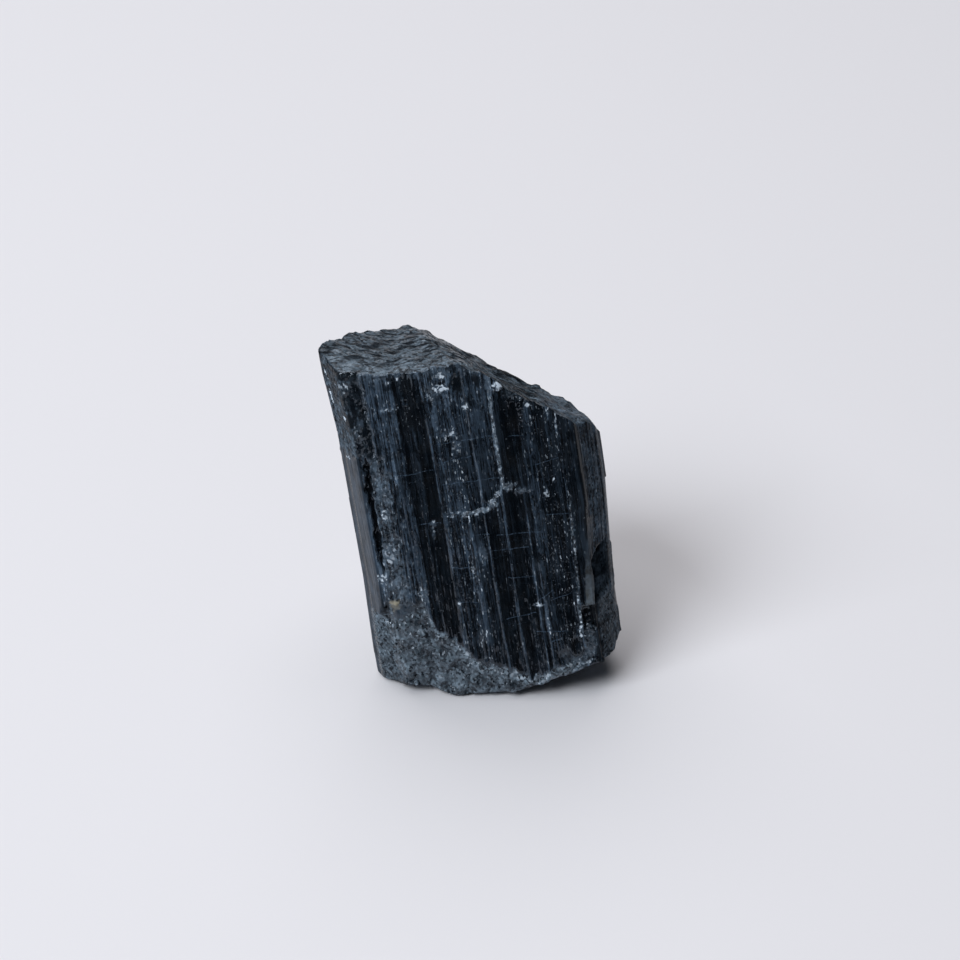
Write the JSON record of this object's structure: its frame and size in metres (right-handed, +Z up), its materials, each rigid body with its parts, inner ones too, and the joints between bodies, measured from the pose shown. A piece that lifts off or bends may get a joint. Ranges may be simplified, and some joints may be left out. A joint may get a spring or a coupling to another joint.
{
  "type": "tourmaline crystal",
  "caption": "Broken stub of a black tourmaline prism: three-sided ribbed column with rough breaks at top, shoulder and base, leaning on its lower break.",
  "frame": {"origin": "centre of the bounding box at the level of the surface the crystal stands on", "axes": "+Z up, +X to the right of the broad ribbed front, +Y to the back; the prism's own axis leans 17 degrees back and 9 degrees left of +Z"},
  "size_m": [0.0422, 0.0366, 0.047],
  "materials": {
    "schorl": "glassy near-black prism faces with fine ribs, frosted blue-grey where sheets and grains have broken away"
  },
  "bodies": {
    "root": {"tourmaline_crystal": "schorl"}
  },
  "joints": []
}
